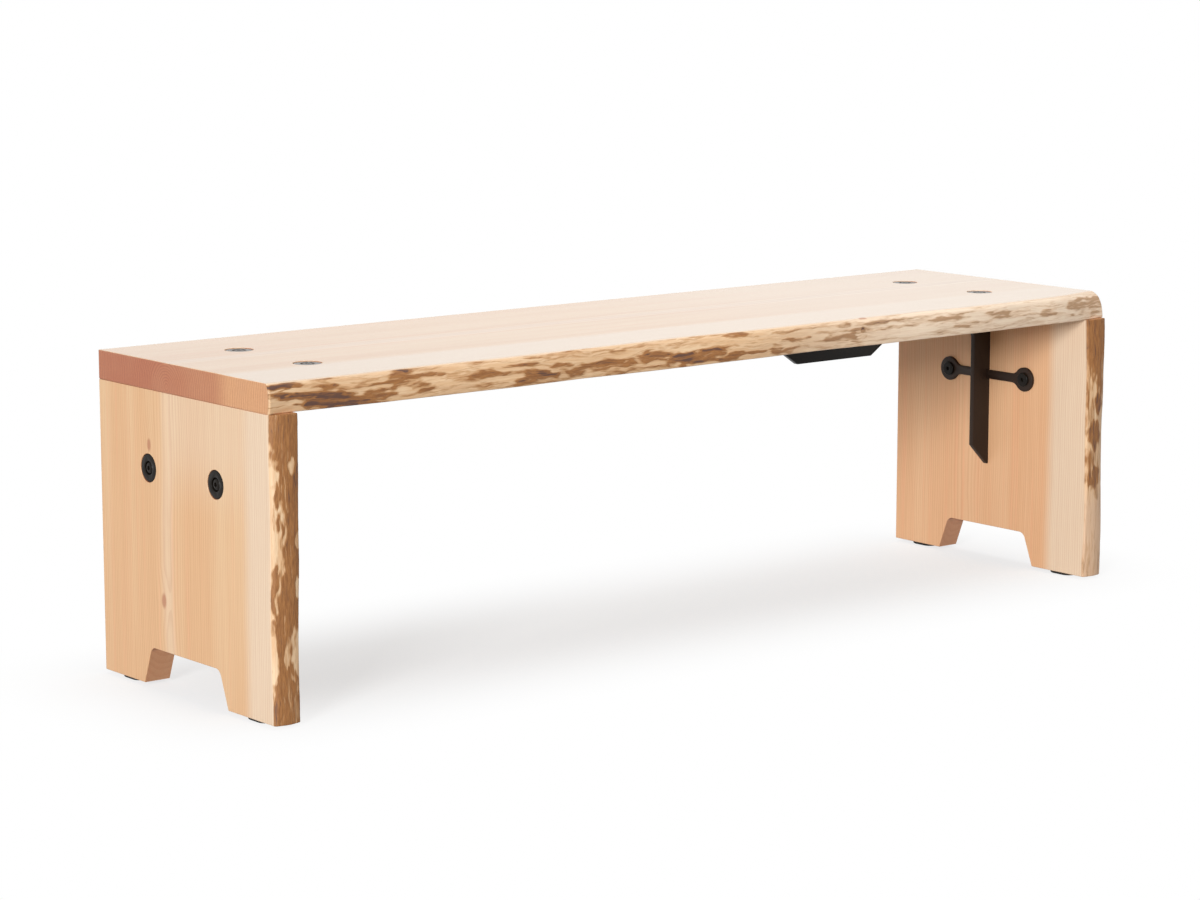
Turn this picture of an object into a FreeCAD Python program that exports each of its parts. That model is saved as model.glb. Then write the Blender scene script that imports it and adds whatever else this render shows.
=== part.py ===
import FreeCAD, Part
import math
import os

Vector = FreeCAD.Vector

# Live-edge bench: a slab seat on two slab legs, held by two bolted steel corner brackets.
# Millimetres. X runs along the seat, the live edges face -Y, Z is up.
# The origin is on the floor, under the middle of the bench.

# Overall sizes
bench_length = 1550.0
bench_depth = 424.0
seat_height = 450.0
seat_thickness = 40.0
leg_thickness = 40.0

# The line across the depth that brackets and notches are centred on, behind the middle of the bench
center_line_y = 6.5

# Live edge: how far it strays, how far its upper or outer arris leans back, how much it bulges
seat_wane_depth = 11.0
seat_edge_lean = 7.0
leg_wane_depth = 8.0
leg_edge_lean = 4.0
edge_belly = 3.5
edge_station_pitch = 40.0
edge_wave_length = 1150.0
edge_wave_count_shares = (1.0, 2.7, 5.1)
edge_wave_height_shares = (0.45, 0.35, 0.2)

# Where along its waves each live edge starts: upper or outer arris, lower or inner arris
seat_wave_shares = (0.62, 0.39)
left_leg_wave_shares = (0.72, 0.37)
right_leg_wave_shares = (0.66, 0.84)

# Notch in the foot of each leg
notch_top_width = 168.0
notch_bottom_width = 208.0
notch_height = 52.0
notch_corner_radius = 10.0

# Corner bracket: a rib on edge round the corner, and two cross straps with eyes
rib_thickness = 8.0
rib_depth = 36.0
rib_arm_length = 252.0
rib_toe = 3.0
rib_corner_radius = 10.0
strap_offset = 107.0
strap_thickness = 5.0
strap_neck_width = 14.0
strap_flare_radius = 16.0
eye_diameter = 38.0
bolt_spacing = 165.0

# Bolts, with a hexagon socket in a domed head
bolt_diameter = 10.0
bolt_clearance = 1.0
bolt_end_gap = 1.0
head_diameter = 17.5
head_height = 5.5
head_crown_diameter = 9.0
head_rim_height = 1.2
head_recess = 0.5
socket_across_flats = 6.0
socket_depth = 3.5

# Cup washers, let into the wood, which hold the heads flush
washer_diameter = 38.0
washer_floor = 2.5
washer_clearance = 1.0
washer_recess = 0.6
washer_chamfer = 0.8
head_clearance = 1.5

# Cap nuts: a flat round head on the strap and a sleeve that reaches into the wood
cap_diameter = 22.0
cap_thickness = 3.0
cap_chamfer = 0.8
sleeve_diameter = 13.0
sleeve_length = 20.0
sleeve_clearance = 0.6
sleeve_web = 1.5

# Glides under the feet
glide_length = 46.0
glide_width = 28.0
glide_thickness = 5.0
glide_edge_chamfer = 1.0
glide_screw_spacing = 22.0
glide_head_recess = 1.0

# Stiffener bar under the seat: a web on edge below a screwed flange
stiffener_center_x = 304.0
stiffener_center_y = -92.0
stiffener_depth = 36.0
stiffener_bottom_length = 149.0
stiffener_toe = 4.0
stiffener_end_run_share = 1.5
stiffener_web_thickness = 8.0
flange_width = 34.0
flange_thickness = 4.0
flange_end_margin = 6.0
flange_screw_end_distance = 16.0
flange_screw_edge_distance = 7.0

# Wood screws with countersunk heads
screw_diameter = 4.0
screw_length = 24.0
screw_point_length = 5.0
screw_head_diameter = 7.6
screw_head_height = 2.2

# How far every cutting tool runs past the wood or metal that it cuts
cut_overrun = 10.0

# Levels and places that follow from the sizes above
seat_bottom = seat_height - seat_thickness
leg_height = seat_bottom - glide_thickness
left_end = -bench_length / 2
left_corner_x = left_end + leg_thickness
front_plane = -bench_depth / 2
back_plane = bench_depth / 2
counterbore_depth = washer_floor + head_height + head_recess
counterbore_diameter = washer_diameter + washer_clearance
bolt_hole_diameter = bolt_diameter + bolt_clearance
sleeve_hole_diameter = sleeve_diameter + sleeve_clearance
sleeve_web_level = strap_thickness + cap_thickness - socket_depth - sleeve_web
foot_offset = (notch_bottom_width / 2 + back_plane - center_line_y) / 2

# A turn that lays an upright leg on its side: along the wood stays X, outwards becomes +Z
upright = FreeCAD.Rotation(Vector(0, 1, 0), -90)
flat = FreeCAD.Rotation()
seat_joint = FreeCAD.Placement(Vector(left_corner_x + strap_offset, center_line_y, seat_height), flat)
leg_joint = FreeCAD.Placement(Vector(left_end, center_line_y, seat_bottom - strap_offset), upright)
seat_edge = FreeCAD.Placement(Vector(left_end, front_plane, seat_bottom), flat)
leg_edge = FreeCAD.Placement(Vector(left_corner_x, front_plane, glide_thickness), upright)
across_middle = (Vector(0, 0, 0), Vector(1, 0, 0))


# Small shape helpers

def placed(shape, placement):
    copy = shape.copy()
    copy.Placement = placement.multiply(copy.Placement)
    return copy


def moved(shape, x=0.0, y=0.0, z=0.0):
    return placed(shape, FreeCAD.Placement(Vector(x, y, z), flat))


def mirrored(shape):
    return shape.mirror(*across_middle)


def box_between(low, high):
    size = high - low
    return Part.makeBox(size.x, size.y, size.z, low)


def rod(diameter, low_z, high_z):
    return Part.makeCylinder(diameter / 2, high_z - low_z, Vector(0, 0, low_z))


def hexagon(across_flats, low_z, high_z):
    corner_radius = across_flats / math.sqrt(3)
    turns = [math.tau * k / 6 for k in range(7)]
    corners = [Vector(corner_radius * math.cos(a), corner_radius * math.sin(a), low_z) for a in turns]
    return Part.Face(Part.makePolygon(corners)).extrude(Vector(0, 0, high_z - low_z))


def turned(profile):
    """A solid of revolution round Z from (radius, height) points."""
    points = [Vector(radius, 0, height) for radius, height in profile]
    face = Part.Face(Part.makePolygon(points + points[:1]))
    return face.revolve(Vector(0, 0, 0), Vector(0, 0, 1), 360)


def plate(outline, thickness):
    """A plate in the XZ plane from (x, z) points, as thick as given, centred on y = 0."""
    points = [Vector(x, -thickness / 2, z) for x, z in outline]
    return Part.Face(Part.makePolygon(points + points[:1])).extrude(Vector(0, thickness, 0))


def edges_along_y(shape, x, z):
    """The straight edges parallel to Y that pass through (x, z)."""
    found = []
    for edge in shape.Edges:
        middle = edge.CenterOfMass
        sideways = abs(edge.Vertexes[0].Y - edge.Vertexes[-1].Y) > edge.Length / 2
        if sideways and math.hypot(middle.x - x, middle.z - z) < edge.Length / 100:
            found.append(edge)
    return found


# Wooden slabs

def wave_setback(along, start_share, wane_depth):
    """How far behind the front plane a live edge strays, between zero and the wane depth."""
    sway = 0.0
    for count, height in zip(edge_wave_count_shares, edge_wave_height_shares):
        sway += height * math.sin(math.tau * count * (along / edge_wave_length + start_share))
    return wane_depth * (1 + sway) / 2


def furthest_front(upper, lower):
    """Where the bulging curve between two arrises comes furthest forward."""
    along_curve = min(max(0.5 - (upper - lower) / (8 * edge_belly), 0), 1)
    straight = lower + (upper - lower) * along_curve
    return straight - 4 * edge_belly * along_curve * (1 - along_curve)


def edge_section(along, upper, lower, thickness):
    """One cross-section of the waste in front of a live edge: a bulging curve with straight ends."""
    out = -2 * cut_overrun
    middle = (upper + lower) / 2
    low_arris = Vector(along, lower, 0)
    high_arris = Vector(along, upper, thickness)
    low_end = Vector(along, lower, -cut_overrun)
    high_end = Vector(along, upper, thickness + cut_overrun)
    high_outside = Vector(along, out, thickness + cut_overrun)
    low_outside = Vector(along, out, -cut_overrun)
    bulge = Part.BezierCurve()
    bulge.setPoles([low_arris, Vector(along, middle - 2 * edge_belly, thickness / 2), high_arris])
    edges = [
        Part.makeLine(low_end, low_arris),
        bulge.toShape(),
        Part.makeLine(high_arris, high_end),
        Part.makeLine(high_end, high_outside),
        Part.makeLine(high_outside, low_outside),
        Part.makeLine(low_outside, low_end),
    ]
    return Part.Wire(edges)


def live_edge_waste(length, thickness, wane_depth, lean, wave_shares):
    """What the live edge lacks of a plank with a straight front: a loft along the plank."""
    span = length + 2 * cut_overrun
    count = math.ceil(span / edge_station_pitch) + 1
    stations = [span * k / (count - 1) - cut_overrun for k in range(count)]
    upper = [wave_setback(along, wave_shares[0], wane_depth) + lean for along in stations]
    lower = [wave_setback(along, wave_shares[1], wane_depth) for along in stations]
    reach = min(furthest_front(high, low) for high, low in zip(upper, lower))
    sections = []
    for along, high, low in zip(stations, upper, lower):
        sections.append(edge_section(along, high - reach, low - reach, thickness))
    return Part.makeLoft(sections, True, False)


def bolt_cutter(thickness):
    """The bolt hole, wider at both ends for the washer and the sleeve, with the slab's outer face at z = 0."""
    hole = rod(bolt_hole_diameter, -thickness - cut_overrun, cut_overrun)
    sleeve_end = -thickness - strap_thickness + sleeve_length + sleeve_clearance
    hole = hole.fuse(rod(sleeve_hole_diameter, -thickness - cut_overrun, sleeve_end))
    return hole.fuse(rod(counterbore_diameter, -counterbore_depth, cut_overrun))


def pair_across(shape):
    """Two copies of a shape at the two bolts of a joint."""
    return [moved(shape, y=side * bolt_spacing / 2) for side in (-1, 1)]


def seat_slab():
    low = Vector(left_end, front_plane - cut_overrun, seat_bottom)
    slab = box_between(low, Vector(-left_end, back_plane, seat_height))
    waste = live_edge_waste(bench_length, seat_thickness, seat_wane_depth, seat_edge_lean, seat_wave_shares)
    slab = slab.cut(placed(waste, seat_edge))
    for cutter in pair_across(bolt_cutter(seat_thickness)):
        left_cutter = placed(cutter, seat_joint)
        slab = slab.cut(left_cutter).cut(mirrored(left_cutter))
    for pilot in stiffener_screws():
        slab = slab.cut(pilot)
    return slab


def notch_cutter():
    """The flared notch of a foot, open below, with rounded upper corners."""
    flare = (notch_bottom_width - notch_top_width) / 2
    low_half = notch_bottom_width / 2 + flare * cut_overrun / notch_height
    high_half = notch_top_width / 2
    outline = [(low_half, -cut_overrun), (high_half, notch_height)]
    outline += [(-high_half, notch_height), (-low_half, -cut_overrun)]
    solid = plate(outline, leg_thickness + 2 * cut_overrun)
    corners = edges_along_y(solid, high_half, notch_height) + edges_along_y(solid, -high_half, notch_height)
    solid = solid.makeFillet(notch_corner_radius, corners)
    quarter_turn = FreeCAD.Rotation(Vector(0, 0, 1), 90)
    leg_middle = Vector(left_end + leg_thickness / 2, center_line_y, glide_thickness)
    return placed(solid, FreeCAD.Placement(leg_middle, quarter_turn))


def left_leg_slab(wave_shares):
    low = Vector(left_end, front_plane - cut_overrun, glide_thickness)
    slab = box_between(low, Vector(left_corner_x, back_plane, seat_bottom))
    waste = live_edge_waste(leg_height, leg_thickness, leg_wane_depth, leg_edge_lean, wave_shares)
    slab = slab.cut(placed(waste, leg_edge))
    slab = slab.cut(notch_cutter())
    for cutter in pair_across(bolt_cutter(leg_thickness)):
        slab = slab.cut(placed(cutter, leg_joint))
    for pilot in left_glide_screws():
        slab = slab.cut(pilot)
    return slab


# Corner bracket

def left_bracket_rib():
    """The rib round the inside corner, notched where it crosses the two straps."""
    blunt = rib_arm_length - (rib_depth - rib_toe)
    outline = [(0, 0), (rib_arm_length, 0), (rib_arm_length, -rib_toe), (blunt, -rib_depth)]
    outline += [(rib_depth, -rib_depth)]
    outline += [(rib_depth, -blunt), (rib_toe, -rib_arm_length), (0, -rib_arm_length)]
    rib = plate(outline, rib_thickness)
    rib = rib.makeFillet(rib_corner_radius, edges_along_y(rib, rib_depth, -rib_depth))
    rib = moved(rib, x=left_corner_x, y=center_line_y, z=seat_bottom)
    half_neck = strap_neck_width / 2
    for joint, thickness in ((seat_joint, seat_thickness), (leg_joint, leg_thickness)):
        low = Vector(-half_neck, -rib_thickness, -thickness - strap_thickness)
        gap = box_between(low, Vector(half_neck, rib_thickness, -thickness + cut_overrun))
        rib = rib.cut(placed(gap, joint))
    return rib


def strap(thickness):
    """A cross strap with an eye round each bolt, flat on the inner face of a slab."""
    top = -thickness
    bottom = top - strap_thickness
    half_neck = strap_neck_width / 2
    half_spacing = bolt_spacing / 2
    bar = box_between(Vector(-half_neck, -half_spacing, bottom), Vector(half_neck, half_spacing, top))
    for eye in pair_across(rod(eye_diameter, bottom, top)):
        bar = bar.fuse(eye)
    bar = bar.removeSplitter()
    shoulder = half_spacing - math.sqrt((eye_diameter / 2) ** 2 - half_neck ** 2)
    corners = []
    for edge in bar.Edges:
        middle = edge.CenterOfMass
        upright_edge = abs(edge.BoundBox.ZLength - strap_thickness) < strap_thickness / 100
        if upright_edge and abs(abs(middle.y) - shoulder) < shoulder / 100 and edge.BoundBox.XLength < half_neck:
            corners.append(edge)
    bar = bar.makeFillet(strap_flare_radius, corners)
    for hole in pair_across(rod(sleeve_hole_diameter, bottom - cut_overrun, top + cut_overrun)):
        bar = bar.cut(hole)
    return bar


# Bolts, washers and nuts, each with the slab's outer face at z = 0

def washer():
    """A cup washer: its rim lies just under the face of the wood, its pocket takes the bolt's head."""
    low = -counterbore_depth
    floor = low + washer_floor
    rim = -washer_recess
    radius = washer_diameter / 2
    pocket_radius = (head_diameter + head_clearance) / 2
    hole_radius = bolt_hole_diameter / 2
    profile = [(hole_radius, low), (radius, low), (radius, rim - washer_chamfer), (radius - washer_chamfer, rim)]
    profile += [(pocket_radius, rim), (pocket_radius, floor), (hole_radius, floor)]
    return turned(profile)


def bolt(thickness):
    """A button-head bolt with a hexagon socket, from its flush head to its end in the cap nut."""
    seat = -counterbore_depth + washer_floor
    rim = seat + head_rim_height
    crown = seat + head_height
    end = -thickness - sleeve_web_level + bolt_end_gap
    shoulder_radius = (head_diameter + head_crown_diameter) / 4
    dome = Part.Arc(
        Vector(head_diameter / 2, 0, rim),
        Vector(shoulder_radius + (crown - rim) / 5, 0, (rim + crown) / 2 + (crown - rim) / 6),
        Vector(head_crown_diameter / 2, 0, crown),
    )
    rim_point = Vector(head_diameter / 2, 0, seat)
    outline = [
        Part.makeLine(Vector(0, 0, seat), rim_point),
        Part.makeLine(rim_point, Vector(head_diameter / 2, 0, rim)),
        dome.toShape(),
        Part.makeLine(Vector(head_crown_diameter / 2, 0, crown), Vector(0, 0, crown)),
        Part.makeLine(Vector(0, 0, crown), Vector(0, 0, seat)),
    ]
    head = Part.Face(Part.Wire(outline)).revolve(Vector(0, 0, 0), Vector(0, 0, 1), 360)
    head = head.fuse(rod(bolt_diameter, end, seat)).removeSplitter()
    return head.cut(hexagon(socket_across_flats, crown - socket_depth, crown + cut_overrun))


def nut(thickness):
    """A cap nut: a flat head with a hexagon socket on the strap, and a sleeve round the bolt."""
    top = -thickness - strap_thickness
    bottom = top - cap_thickness
    sleeve_end = top + sleeve_length
    web = -thickness - sleeve_web_level
    cap_radius = cap_diameter / 2
    sleeve_radius = sleeve_diameter / 2
    bolt_radius = bolt_diameter / 2
    profile = [(0, bottom), (cap_radius - cap_chamfer, bottom), (cap_radius, bottom + cap_chamfer)]
    profile += [(cap_radius, top), (sleeve_radius, top), (sleeve_radius, sleeve_end)]
    profile += [(bolt_radius, sleeve_end), (bolt_radius, web), (0, web)]
    return turned(profile).cut(hexagon(socket_across_flats, bottom - cut_overrun, bottom + socket_depth))


# Glides, stiffener and screws

def wood_screw():
    """A countersunk wood screw driven upwards: the head's face is at z = 0, the point is on top."""
    head_radius = screw_head_diameter / 2
    radius = screw_diameter / 2
    profile = [(0, 0), (head_radius, 0), (radius, screw_head_height)]
    profile += [(radius, screw_length - screw_point_length), (0, screw_length)]
    return turned(profile)


def glide():
    """An obround pad for a foot, with its floor edge chamfered and two countersunk holes."""
    straight = glide_length - glide_width
    low = Vector(-glide_width / 2, -straight / 2, 0)
    pad = box_between(low, Vector(glide_width / 2, straight / 2, glide_thickness))
    for side in (-1, 1):
        pad = pad.fuse(moved(rod(glide_width, 0, glide_thickness), y=side * straight / 2))
    pad = pad.removeSplitter()
    floor_edges = [edge for edge in pad.Edges if edge.BoundBox.ZMax < glide_edge_chamfer]
    pad = pad.makeChamfer(glide_edge_chamfer, floor_edges)
    for screw in glide_screw_pair():
        pad = pad.cut(screw)
        access = rod(screw_head_diameter, -cut_overrun, glide_head_recess)
        pad = pad.cut(moved(access, y=screw.CenterOfMass.y))
    return pad


def glide_screw_pair():
    offsets = [side * glide_screw_spacing / 2 for side in (-1, 1)]
    return [moved(wood_screw(), y=offset, z=glide_head_recess) for offset in offsets]


def left_foot(shape, side):
    """A shape moved under the front (side = -1) or back (side = 1) foot of the left leg."""
    return moved(shape, x=left_end + leg_thickness / 2, y=center_line_y + side * foot_offset)


def left_glide_screws():
    return [left_foot(screw, side) for side in (-1, 1) for screw in glide_screw_pair()]


def stiffener_web_length():
    rise = stiffener_depth - flange_thickness - stiffener_toe
    return stiffener_bottom_length + 2 * rise * stiffener_end_run_share


def seat_stiffener():
    """A web with slanted ends below a flange that is screwed to the underside of the seat."""
    half_bottom = stiffener_bottom_length / 2
    half_web = stiffener_web_length() / 2
    toe = -flange_thickness - stiffener_toe
    outline = [(-half_web, -flange_thickness), (half_web, -flange_thickness), (half_web, toe)]
    outline += [(half_bottom, -stiffener_depth), (-half_bottom, -stiffener_depth), (-half_web, toe)]
    half_flange = half_web + flange_end_margin
    low = Vector(-half_flange, -flange_width / 2, -flange_thickness)
    flange = box_between(low, Vector(half_flange, flange_width / 2, 0))
    bar = flange.fuse(plate(outline, stiffener_web_thickness)).removeSplitter()
    bar = moved(bar, x=stiffener_center_x, y=stiffener_center_y, z=seat_bottom)
    for screw in stiffener_screws():
        bar = bar.cut(screw)
    return bar


def stiffener_screws():
    reach_x = stiffener_web_length() / 2 + flange_end_margin - flange_screw_end_distance
    reach_y = flange_width / 2 - flange_screw_edge_distance
    screws = []
    for along in (-1, 1):
        for across in (-1, 1):
            x = stiffener_center_x + along * reach_x
            y = stiffener_center_y + across * reach_y
            screws.append(moved(wood_screw(), x=x, y=y, z=seat_bottom - flange_thickness))
    return screws


# The whole bench, one node per piece or per group of like fasteners

def bench_nodes():
    nodes = {
        "seat_slab": seat_slab(),
        "left_leg_slab": left_leg_slab(left_leg_wave_shares),
        "right_leg_slab": mirrored(left_leg_slab(right_leg_wave_shares)),
        "seat_stiffener": seat_stiffener(),
        "stiffener_screws": Part.makeCompound(stiffener_screws()),
    }
    left_nodes = {"bracket_rib": left_bracket_rib()}
    for joint_name, joint, thickness in (("seat", seat_joint, seat_thickness), ("leg", leg_joint, leg_thickness)):
        left_nodes[f"{joint_name}_strap"] = placed(strap(thickness), joint)
        fasteners = {"bolts": bolt(thickness), "washers": washer(), "nuts": nut(thickness)}
        for kind, shape in fasteners.items():
            pair = [placed(copy, joint) for copy in pair_across(shape)]
            left_nodes[f"{joint_name}_{kind}"] = Part.makeCompound(pair)
    for side, name in ((-1, "front"), (1, "back")):
        left_nodes[f"{name}_glide"] = left_foot(glide(), side)
    left_nodes["glide_screws"] = Part.makeCompound(left_glide_screws())
    for name, shape in left_nodes.items():
        nodes[f"left_{name}"] = shape
        nodes[f"right_{name}"] = mirrored(shape)
    return nodes


def main():
    os.makedirs("parts", exist_ok=True)
    for name, shape in bench_nodes().items():
        shape.exportStep(f"parts/{name}.step")
        print(name, len(shape.Solids), round(shape.Volume), shape.isValid())


main()
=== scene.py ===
# %% [markdown]
# A live-edge bench
#
# Three planks, still wearing the outside of the tree along one edge, make the whole bench: a seat and
# two legs. Two black steel brackets hold the inside corners, and bolts go right through the wood to
# them. The solids of the bench come ready made, in metres, as a fixed frame. This lesson dresses them:
# it sculpts the live edges, softens the steel and gives every piece its finish.

# %% Load the fixed frame
import bmesh
import bpy
import math
from mathutils import Matrix, Vector, noise
from mathutils.bvhtree import BVHTree


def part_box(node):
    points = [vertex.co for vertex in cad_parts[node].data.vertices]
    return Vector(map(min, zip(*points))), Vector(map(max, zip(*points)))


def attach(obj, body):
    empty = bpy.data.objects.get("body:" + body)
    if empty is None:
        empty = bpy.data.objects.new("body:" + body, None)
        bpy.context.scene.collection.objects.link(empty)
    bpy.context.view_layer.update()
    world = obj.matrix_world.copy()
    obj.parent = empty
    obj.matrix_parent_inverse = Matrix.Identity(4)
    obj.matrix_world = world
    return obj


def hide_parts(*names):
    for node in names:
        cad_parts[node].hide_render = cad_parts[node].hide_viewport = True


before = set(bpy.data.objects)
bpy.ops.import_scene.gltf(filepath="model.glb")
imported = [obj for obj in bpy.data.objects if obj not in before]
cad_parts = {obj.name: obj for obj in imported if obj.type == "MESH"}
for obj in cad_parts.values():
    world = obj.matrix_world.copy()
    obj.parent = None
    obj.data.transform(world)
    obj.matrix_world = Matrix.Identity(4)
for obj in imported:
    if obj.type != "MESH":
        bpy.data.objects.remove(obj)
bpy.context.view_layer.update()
scene = bpy.context.scene
scene.view_settings.view_transform = "Standard"
mm = 0.001

# %% [markdown]
# The camera
#
# The bench is seen from its left front corner, from just under five metres away and about a metre above
# the floor. A long lens keeps its lines nearly parallel. The lens is written as a focal length in
# pixels of the 1200 pixel wide picture, because that is what a picture of known corners gives, and
# Blender's millimetres follow from the width of the sensor. A shifted lens could keep the uprights
# parallel too, but it would push the bench out of every other view, so the lens stays straight.

# %% Camera
picture_width = 1200
focal_pixels = 3356.5
sensor_width = 36
camera_place = Vector((-3.0941, -3.7268, 1.0670))
camera_turn = math.radians(39.067)
camera_dip = math.radians(9.49)

camera_data = bpy.data.cameras.new("bench_camera")
camera_data.sensor_width = sensor_width
camera_data.lens = sensor_width * focal_pixels / picture_width
camera = bpy.data.objects.new("bench_camera", camera_data)
camera.location = camera_place
camera.rotation_euler = (math.pi / 2 - camera_dip, 0, -camera_turn)
scene.collection.objects.link(camera)
scene.camera = camera
print("lens in millimetres:", round(camera_data.lens, 1))

# %% [markdown]
# Shader sums
#
# A finish is a tree of small nodes, and drawing such a tree by hand in code soon hides what it means.
# So one class wraps an output socket and lets Python's own signs add the Math nodes: 1 - mask is a
# subtraction node. Every other node comes from one method, which sets the node's settings first and
# then fills its sockets with values or links.

# %% Sockets in sums
class Signal:
    """An output socket. A sum with numbers or other signals adds Math nodes to its tree."""

    def __init__(self, finish, socket):
        self.finish = finish
        self.socket = socket

    def join(self, operation, *terms):
        """A Math node on these terms."""
        return self.finish.add("ShaderNodeMath", {"operation": operation}, dict(enumerate(terms)))

    def __add__(self, other):
        return self.join("ADD", self, other)

    def __radd__(self, other):
        return self.join("ADD", other, self)

    def __sub__(self, other):
        return self.join("SUBTRACT", self, other)

    def __rsub__(self, other):
        return self.join("SUBTRACT", other, self)

    def __mul__(self, other):
        return self.join("MULTIPLY", self, other)

    def __rmul__(self, other):
        return self.join("MULTIPLY", other, self)

    def __truediv__(self, other):
        return self.join("DIVIDE", self, other)

    def __rtruediv__(self, other):
        return self.join("DIVIDE", other, self)

    def __pow__(self, other):
        return self.join("POWER", self, other)

    def __mod__(self, other):
        return self.join("FLOORED_MODULO", self, other)

    def __abs__(self):
        return self.join("ABSOLUTE", self)

    def rise(self, start, end):
        """0 before start, 1 after end, and a soft step between them."""
        sockets = {"Value": self, "From Min": start, "From Max": end}
        return self.finish.add("ShaderNodeMapRange", {"interpolation_type": "SMOOTHSTEP"}, sockets)


print("a socket can now stand in a sum")

# %% Node trees
class Finish:
    """A node tree with one way to add a node."""

    def __init__(self, tree):
        self.tree = tree
        self.tree.nodes.clear()

    def add(self, kind, settings, sockets, output=0):
        """A node with its settings and sockets filled in, as the signal of one of its outputs."""
        node = self.tree.nodes.new(kind)
        for name, value in settings.items():
            setattr(node, name, value)
        for name, value in sockets.items():
            if isinstance(value, Signal):
                self.tree.links.new(value.socket, node.inputs[name])
            else:
                node.inputs[name].default_value = value
        if node.outputs:
            return Signal(self, node.outputs[output])

    def place(self):
        """The three Object coordinates, in metres."""
        object_place = self.add("ShaderNodeTexCoord", {}, {}, "Object")
        return [self.add("ShaderNodeSeparateXYZ", {}, {0: object_place}, axis) for axis in "XYZ"]

    def noise(self, x, y, z, detail=2.0):
        """Soft noise from 0 to 1 at a place whose unit is the size of one spot."""
        spot = self.add("ShaderNodeCombineXYZ", {}, {"X": x, "Y": y, "Z": z})
        return self.add("ShaderNodeTexNoise", {}, {"Vector": spot, "Scale": 1.0, "Detail": detail})

    def blend(self, share, under, over, kind="MIX"):
        """One colour laid over another."""
        settings = {"data_type": "RGBA", "blend_type": kind}
        return self.add("ShaderNodeMix", settings, {0: share, 6: under, 7: over}, 2)

    def bump(self, height, depth):
        """A relief of that depth in metres from a height between 0 and 1."""
        return self.add("ShaderNodeBump", {}, {"Height": height, "Distance": depth, "Strength": 1.0})

    def close(self, sockets):
        """The shader itself, wired to the material's output."""
        shader = self.add("ShaderNodeBsdfPrincipled", {}, sockets)
        self.add("ShaderNodeOutputMaterial", {}, {"Surface": shader})


print("node trees ready")

# %% Colours and materials
def paint(red, green, blue):
    """A colour picker's 0 to 255 values as linear red, green, blue and alpha, by the sRGB curve."""
    shares = [channel / 255 for channel in (red, green, blue)]
    linear = [((share + 0.055) / 1.055) ** 2.4 if share > 0.04 else share / 12.92 for share in shares]
    return (*linear, 1.0)


def new_material(name):
    """An empty material and its node tree."""
    material = bpy.data.materials.new(name)
    material.use_nodes = True
    return material, Finish(material.node_tree)


print("mid grey in linear light:", round(paint(128, 128, 128)[0], 3))

# %% [markdown]
# Floor and light
#
# The bench stands on a white floor in a white room. A white surround could be had by pouring in more
# light, but then the wood would bleach. So the lamps stay at a plain level, and the room is white only
# to what looks at it: camera, glossy and transmission rays see a white of strength 1, and every other
# ray sees a dim sky. The floor does the same further out. In a soft band under the bench it keeps a
# share of its own shading, and that share carries the shadow.

# %% Room
sky_white = paint(255, 255, 255)
sky_level = 0.15


def seen(finish):
    """1 for the rays that look at the room, 0 for the rays that light the bench."""
    unseen = 1
    for ray in ("Is Camera Ray", "Is Glossy Ray", "Is Transmission Ray"):
        unseen = (1 - finish.add("ShaderNodeLightPath", {}, {}, ray)) * unseen
    return 1 - unseen


world = bpy.data.worlds.new("white_room")
world.use_nodes = True
scene.world = world
room = Finish(world.node_tree)
sky_strength = seen(room) * (1 - sky_level) + sky_level
sky = room.add("ShaderNodeBackground", {}, {"Color": sky_white, "Strength": sky_strength})
room.add("ShaderNodeOutputWorld", {}, {"Surface": sky})
print("light of the sky:", sky_level)

# %% Floor
floor_reach = 30.0
floor_sides = 64
floor_white = paint(252, 252, 253)
floor_grey = paint(180, 172, 163)
shadow_share = 0.34
shadow_middle = 0.03
shadow_fade_across = (0.38, 0.06)
shadow_fade_along = (1.0, 0.66)


def new_piece(name, mesh, material):
    """Turns a finished bmesh into an object at the origin."""
    data = bpy.data.meshes.new(name)
    mesh.to_mesh(data)
    mesh.free()
    data.materials.append(material)
    piece = bpy.data.objects.new(name, data)
    scene.collection.objects.link(piece)
    return piece


floor_material, ground = new_material("floor_white")
x, y, z = ground.place()
near = abs(y - shadow_middle).rise(*shadow_fade_across) * abs(x).rise(*shadow_fade_along)
look = seen(ground)
white = look * (1 - near * shadow_share)
floor_tone = ground.blend(look, floor_grey, floor_white)
shaded_floor = ground.add("ShaderNodeBsdfDiffuse", {}, {"Color": floor_tone})
white_floor = ground.add("ShaderNodeEmission", {}, {"Strength": 1.0})
whole_floor = ground.add("ShaderNodeMixShader", {}, {0: white, 1: shaded_floor, 2: white_floor})
ground.add("ShaderNodeOutputMaterial", {}, {"Surface": whole_floor})

floor_mesh = bmesh.new()
bmesh.ops.create_circle(floor_mesh, cap_ends=True, segments=floor_sides, radius=floor_reach)
floor = new_piece("floor", floor_mesh, floor_material)
print("floor radius in metres:", floor_reach)

# %% [markdown]
# Lamps
#
# A studio lights furniture with softboxes, and an area lamp is one. A large one overhead gives the soft
# shadow under the seat, and a far one at the front left gives the legs their brightness. The seat is
# polished enough to show the outline of the lamp above it, so that lamp is kept out of reflections.

# %% Softboxes
# Each lamp has its place and its size in metres, its power in watts, and whether it is mirrored
softboxes = {
    "overhead_softbox": ((0.3, 0.0, 2.6), (2.8, 2.4), 49.0, False),
    "front_left_softbox": ((-12.8, -8.0, 4.3), (4.0, 4.0), 2200.0, True),
}
lit_point = Vector((0, 0, 0.3))

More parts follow.
